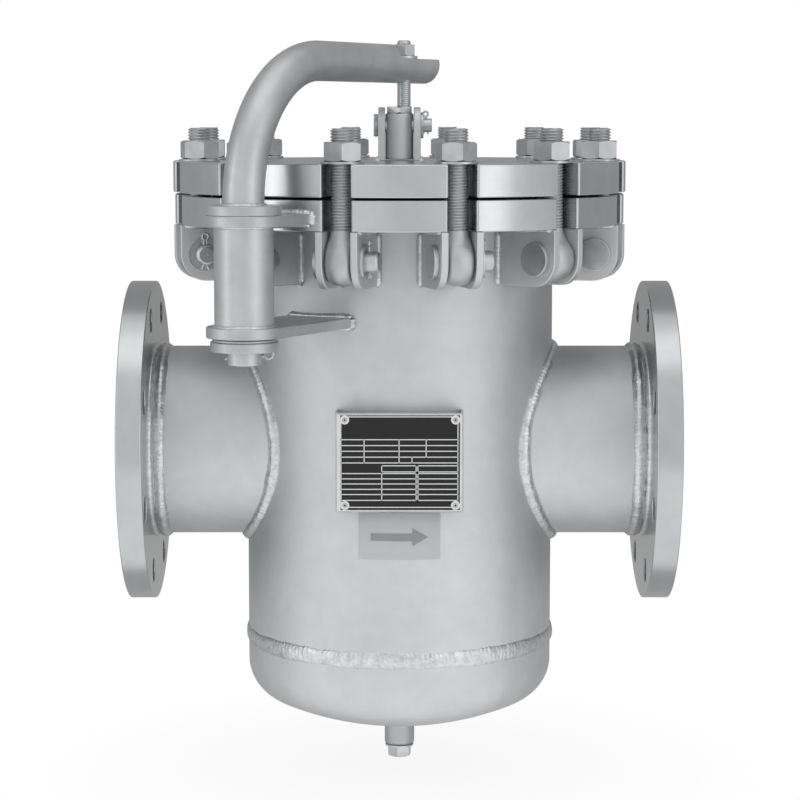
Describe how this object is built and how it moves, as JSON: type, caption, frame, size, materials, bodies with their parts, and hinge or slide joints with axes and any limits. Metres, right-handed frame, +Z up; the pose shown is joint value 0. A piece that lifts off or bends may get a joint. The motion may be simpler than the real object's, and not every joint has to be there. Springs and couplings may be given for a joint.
{
  "type": "basket strainer",
  "caption": "Welded stainless basket strainer: upright vessel, two flanged nozzles, blind cover on swing bolts, davit with lifting rod, lift-out basket, drain plug.",
  "frame": {"origin": "centre of the inlet flange face", "axes": "+X along the flow from inlet to outlet, +Z up along the vessel axis, which stands at x = 0.24 m"},
  "size_m": [0.48, 0.448, 0.6472],
  "materials": {
    "arrow_film": "translucent grey film",
    "basket_stainless": "pickled sheet",
    "blasted_stainless": "glass bead blasted, satin",
    "bolt_steel": "stainless fasteners, semi bright",
    "bush_bronze": "bearing bronze",
    "gasket_fibre": "dark fibre gasket",
    "machined_stainless": "turned, semi bright",
    "nameplate": "black field, light lines"
  },
  "bodies": {
    "vessel": {"basket_seat_plate": "basket_stainless", "body_flange": "machined_stainless", "body_shell": "blasted_stainless", "bolt_lugs": "blasted_stainless", "cover_gasket": "gasket_fibre", "davit_bushes": "bush_bronze", "davit_plates": "blasted_stainless", "davit_sleeve": "blasted_stainless", "dished_head": "blasted_stainless", "drain_socket": "blasted_stainless", "flow_arrow_film": "arrow_film", "inlet_flange": "machined_stainless", "inlet_nozzle": "blasted_stainless", "lug_pin_washers_and_split_pins": "bolt_steel", "lug_pins": "bolt_steel", "nameplate_and_rivets": "nameplate", "nameplate_bracket": "blasted_stainless", "outlet_flange": "machined_stainless", "outlet_nozzle": "blasted_stainless"},
    "cover_and_davit": {"clevis_pin": "bolt_steel", "clevis_washer_and_split_pin": "bolt_steel", "cover": "machined_stainless", "cover_clevis": "blasted_stainless", "davit_arm": "blasted_stainless", "davit_collar": "machined_stainless", "lifting_rod": "bolt_steel", "post_washers_and_split_pin": "machined_stainless", "rod_barrel": "blasted_stainless", "rod_locknut_and_washer": "bolt_steel"},
    "lifting_nut": {"lifting_nut": "bolt_steel"},
    "basket": {"basket_floor": "basket_stainless", "basket_handle": "basket_stainless", "basket_liner": "basket_stainless", "basket_rim": "basket_stainless", "basket_screen": "basket_stainless"},
    "drain_plug": {"drain_plug_and_seal": "bolt_steel"},
    "nut_and_washer_01": {"nut_and_washer_01": "bolt_steel"},
    "nut_and_washer_02": {"nut_and_washer_02": "bolt_steel"},
    "nut_and_washer_03": {"nut_and_washer_03": "bolt_steel"},
    "nut_and_washer_04": {"nut_and_washer_04": "bolt_steel"},
    "nut_and_washer_05": {"nut_and_washer_05": "bolt_steel"},
    "nut_and_washer_06": {"nut_and_washer_06": "bolt_steel"},
    "nut_and_washer_07": {"nut_and_washer_07": "bolt_steel"},
    "nut_and_washer_08": {"nut_and_washer_08": "bolt_steel"},
    "nut_and_washer_09": {"nut_and_washer_09": "bolt_steel"},
    "nut_and_washer_10": {"nut_and_washer_10": "bolt_steel"},
    "nut_and_washer_11": {"nut_and_washer_11": "bolt_steel"},
    "nut_and_washer_12": {"nut_and_washer_12": "bolt_steel"},
    "swing_bolt_01": {"swing_bolt_01": "bolt_steel"},
    "swing_bolt_02": {"swing_bolt_02": "bolt_steel"},
    "swing_bolt_03": {"swing_bolt_03": "bolt_steel"},
    "swing_bolt_04": {"swing_bolt_04": "bolt_steel"},
    "swing_bolt_05": {"swing_bolt_05": "bolt_steel"},
    "swing_bolt_06": {"swing_bolt_06": "bolt_steel"},
    "swing_bolt_07": {"swing_bolt_07": "bolt_steel"},
    "swing_bolt_08": {"swing_bolt_08": "bolt_steel"},
    "swing_bolt_09": {"swing_bolt_09": "bolt_steel"},
    "swing_bolt_10": {"swing_bolt_10": "bolt_steel"},
    "swing_bolt_11": {"swing_bolt_11": "bolt_steel"},
    "swing_bolt_12": {"swing_bolt_12": "bolt_steel"}
  },
  "joints": [
    {"name": "davit_swing", "type": "hinge", "parent": "vessel", "child": "cover_and_davit", "pos_m": [0.115, -0.21651, 0.21], "axis": [0, 0, 1], "range_deg": [-0.2, 0.2]},
    {"name": "lifting_nut_turn", "type": "hinge", "parent": "cover_and_davit", "child": "lifting_nut", "pos_m": [0.244, 0, 0.347], "axis": [0, 0, 1], "continuous": true},
    {"name": "basket_lift", "type": "slide", "parent": "vessel", "child": "basket", "axis": [0, 0, 1], "range_m": [0, 0.014]},
    {"name": "drain_plug_unscrew", "type": "slide", "parent": "vessel", "child": "drain_plug", "axis": [0, 0, -1], "range_m": [0, 0.012]},
    {"name": "swing_bolt_01_swing", "type": "hinge", "parent": "vessel", "child": "swing_bolt_01", "pos_m": [0.41387, 0.04659, 0.17], "axis": [-0.2588, 0.9659, 0], "range_deg": [0, 55]},
    {"name": "nut_01_run", "type": "slide", "parent": "swing_bolt_01", "child": "nut_and_washer_01", "axis": [0, 0, 1], "range_m": [0, 0.0205]},
    {"name": "swing_bolt_02_swing", "type": "hinge", "parent": "vessel", "child": "swing_bolt_02", "pos_m": [0.36728, 0.12728, 0.17], "axis": [-0.7071, 0.7071, 0], "range_deg": [0, 55]},
    {"name": "nut_02_run", "type": "slide", "parent": "swing_bolt_02", "child": "nut_and_washer_02", "axis": [0, 0, 1], "range_m": [0, 0.0205]},
    {"name": "swing_bolt_03_swing", "type": "hinge", "parent": "vessel", "child": "swing_bolt_03", "pos_m": [0.28659, 0.17387, 0.17], "axis": [-0.9659, 0.2588, 0], "range_deg": [0, 55]},
    {"name": "nut_03_run", "type": "slide", "parent": "swing_bolt_03", "child": "nut_and_washer_03", "axis": [0, 0, 1], "range_m": [0, 0.0205]},
    {"name": "swing_bolt_04_swing", "type": "hinge", "parent": "vessel", "child": "swing_bolt_04", "pos_m": [0.19341, 0.17387, 0.17], "axis": [-0.9659, -0.2588, 0], "range_deg": [0, 55]},
    {"name": "nut_04_run", "type": "slide", "parent": "swing_bolt_04", "child": "nut_and_washer_04", "axis": [0, 0, 1], "range_m": [0, 0.0205]},
    {"name": "swing_bolt_05_swing", "type": "hinge", "parent": "vessel", "child": "swing_bolt_05", "pos_m": [0.11272, 0.12728, 0.17], "axis": [-0.7071, -0.7071, 0], "range_deg": [0, 55]},
    {"name": "nut_05_run", "type": "slide", "parent": "swing_bolt_05", "child": "nut_and_washer_05", "axis": [0, 0, 1], "range_m": [0, 0.0205]},
    {"name": "swing_bolt_06_swing", "type": "hinge", "parent": "vessel", "child": "swing_bolt_06", "pos_m": [0.06613, 0.04659, 0.17], "axis": [-0.2588, -0.9659, 0], "range_deg": [0, 55]},
    {"name": "nut_06_run", "type": "slide", "parent": "swing_bolt_06", "child": "nut_and_washer_06", "axis": [0, 0, 1], "range_m": [0, 0.0205]},
    {"name": "swing_bolt_07_swing", "type": "hinge", "parent": "vessel", "child": "swing_bolt_07", "pos_m": [0.06613, -0.04659, 0.17], "axis": [0.2588, -0.9659, 0], "range_deg": [0, 55]},
    {"name": "nut_07_run", "type": "slide", "parent": "swing_bolt_07", "child": "nut_and_washer_07", "axis": [0, 0, 1], "range_m": [0, 0.0205]},
    {"name": "swing_bolt_08_swing", "type": "hinge", "parent": "vessel", "child": "swing_bolt_08", "pos_m": [0.11272, -0.12728, 0.17], "axis": [0.7071, -0.7071, 0], "range_deg": [0, 55]},
    {"name": "nut_08_run", "type": "slide", "parent": "swing_bolt_08", "child": "nut_and_washer_08", "axis": [0, 0, 1], "range_m": [0, 0.0205]},
    {"name": "swing_bolt_09_swing", "type": "hinge", "parent": "vessel", "child": "swing_bolt_09", "pos_m": [0.19341, -0.17387, 0.17], "axis": [0.9659, -0.2588, 0], "range_deg": [0, 55]},
    {"name": "nut_09_run", "type": "slide", "parent": "swing_bolt_09", "child": "nut_and_washer_09", "axis": [0, 0, 1], "range_m": [0, 0.0205]},
    {"name": "swing_bolt_10_swing", "type": "hinge", "parent": "vessel", "child": "swing_bolt_10", "pos_m": [0.28659, -0.17387, 0.17], "axis": [0.9659, 0.2588, 0], "range_deg": [0, 55]},
    {"name": "nut_10_run", "type": "slide", "parent": "swing_bolt_10", "child": "nut_and_washer_10", "axis": [0, 0, 1], "range_m": [0, 0.0205]},
    {"name": "swing_bolt_11_swing", "type": "hinge", "parent": "vessel", "child": "swing_bolt_11", "pos_m": [0.36728, -0.12728, 0.17], "axis": [0.7071, 0.7071, 0], "range_deg": [0, 55]},
    {"name": "nut_11_run", "type": "slide", "parent": "swing_bolt_11", "child": "nut_and_washer_11", "axis": [0, 0, 1], "range_m": [0, 0.0205]},
    {"name": "swing_bolt_12_swing", "type": "hinge", "parent": "vessel", "child": "swing_bolt_12", "pos_m": [0.41387, -0.04659, 0.17], "axis": [0.2588, 0.9659, 0], "range_deg": [0, 55]},
    {"name": "nut_12_run", "type": "slide", "parent": "swing_bolt_12", "child": "nut_and_washer_12", "axis": [0, 0, 1], "range_m": [0, 0.0205]}
  ],
  "couplings": [
    {"joint": "nut_01_run", "follows": "swing_bolt_01_swing", "m_per_rad": 0.021},
    {"joint": "nut_02_run", "follows": "swing_bolt_02_swing", "m_per_rad": 0.021},
    {"joint": "nut_03_run", "follows": "swing_bolt_03_swing", "m_per_rad": 0.021},
    {"joint": "nut_04_run", "follows": "swing_bolt_04_swing", "m_per_rad": 0.021},
    {"joint": "nut_05_run", "follows": "swing_bolt_05_swing", "m_per_rad": 0.021},
    {"joint": "nut_06_run", "follows": "swing_bolt_06_swing", "m_per_rad": 0.021},
    {"joint": "nut_07_run", "follows": "swing_bolt_07_swing", "m_per_rad": 0.021},
    {"joint": "nut_08_run", "follows": "swing_bolt_08_swing", "m_per_rad": 0.021},
    {"joint": "nut_09_run", "follows": "swing_bolt_09_swing", "m_per_rad": 0.021},
    {"joint": "nut_10_run", "follows": "swing_bolt_10_swing", "m_per_rad": 0.021},
    {"joint": "nut_11_run", "follows": "swing_bolt_11_swing", "m_per_rad": 0.021},
    {"joint": "nut_12_run", "follows": "swing_bolt_12_swing", "m_per_rad": 0.021}
  ]
}
